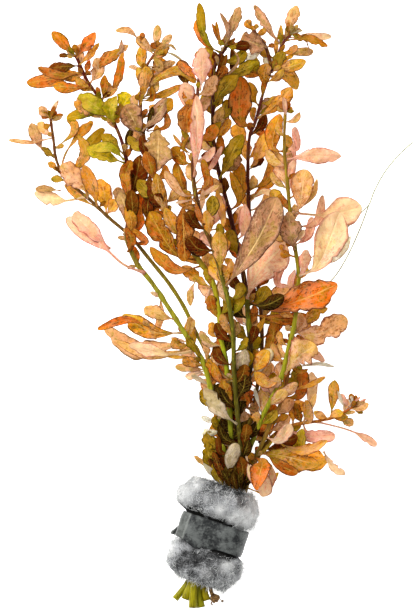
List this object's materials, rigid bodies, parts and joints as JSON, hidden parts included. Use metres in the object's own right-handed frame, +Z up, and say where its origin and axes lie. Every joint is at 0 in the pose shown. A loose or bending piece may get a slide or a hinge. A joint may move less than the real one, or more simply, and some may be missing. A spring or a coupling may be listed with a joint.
{
  "type": "aquarium plant bunch",
  "caption": "Bunch of cut red ludwigia stems with broad amber to pink leaves, padded with grey filter wool and held by a bent lead strip, lying down.",
  "frame": {"origin": "on the surface, under the middle of the bunch's box", "axes": "+Y from the cut ends to the leafy tips, +Z up from the surface, +X to the right seen from above"},
  "size_m": [0.1556, 0.2418, 0.0443],
  "materials": {
    "amber_leaf": "satin",
    "orange_leaf": "satin",
    "salmon_leaf": "satin",
    "blush_leaf": "satin",
    "rust_leaf": "satin",
    "olive_leaf": "satin",
    "lime_leaf": "satin",
    "tan_leaf": "satin",
    "cream_leaf": "satin",
    "green_stem": "satin",
    "dark_stem": "satin",
    "filter_wool": "matte",
    "lead": "satin",
    "root": "matte",
    "root_thread": "satin"
  },
  "bodies": {
    "root": {"filter_wool": "filter_wool", "lead_strip": "lead", "root_knot": "root", "far_left_stem": "dark_stem", "left_stem": "green_stem", "middle_left_stem": "green_stem", "pink_shoot": "dark_stem", "dark_stem": "dark_stem", "right_top_stem": "dark_stem", "right_stem": "green_stem", "short_stem": "green_stem", "low_right_shoot": "dark_stem", "far_left_stem_leaf_1": "orange_leaf", "far_left_stem_leaf_2": "salmon_leaf", "far_left_stem_leaf_3": "orange_leaf", "far_left_stem_leaf_4": "cream_leaf", "left_stem_leaf_1": "amber_leaf", "left_stem_leaf_2": "lime_leaf", "left_stem_leaf_3": "lime_leaf", "left_stem_leaf_4": "lime_leaf", "left_stem_leaf_5": "rust_leaf", "left_stem_leaf_6": "salmon_leaf", "left_stem_leaf_7": "olive_leaf", "left_stem_leaf_8": "orange_leaf", "left_stem_leaf_9": "cream_leaf", "middle_left_stem_leaf_1": "rust_leaf", "middle_left_stem_leaf_2": "tan_leaf", "middle_left_stem_leaf_3": "tan_leaf", "middle_left_stem_leaf_4": "tan_leaf", "middle_left_stem_leaf_5": "amber_leaf", "pink_shoot_leaf_1": "blush_leaf", "pink_shoot_leaf_2": "blush_leaf", "pink_shoot_leaf_3": "orange_leaf", "pink_shoot_leaf_4": "salmon_leaf", "pink_shoot_leaf_5": "amber_leaf", "pink_shoot_leaf_6": "rust_leaf", "pink_shoot_leaf_7": "orange_leaf", "pink_shoot_leaf_8": "tan_leaf", "pink_shoot_leaf_9": "cream_leaf", "dark_stem_leaf_1": "olive_leaf", "dark_stem_leaf_2": "olive_leaf", "dark_stem_leaf_3": "salmon_leaf", "dark_stem_leaf_4": "orange_leaf", "dark_stem_leaf_5": "tan_leaf", "dark_stem_leaf_6": "orange_leaf", "right_top_stem_leaf_1": "amber_leaf", "right_top_stem_leaf_2": "lime_leaf", "right_top_stem_leaf_3": "orange_leaf", "right_top_stem_leaf_4": "rust_leaf", "right_stem_leaf_1": "amber_leaf", "right_stem_leaf_2": "blush_leaf", "right_stem_leaf_3": "salmon_leaf", "right_stem_leaf_4": "salmon_leaf", "right_stem_leaf_5": "blush_leaf", "right_stem_leaf_6": "rust_leaf", "right_stem_leaf_7": "amber_leaf", "right_stem_leaf_8": "salmon_leaf", "short_stem_leaf_1": "rust_leaf", "low_right_shoot_leaf_1": "olive_leaf", "root_threads": "root_thread"}
  },
  "joints": []
}
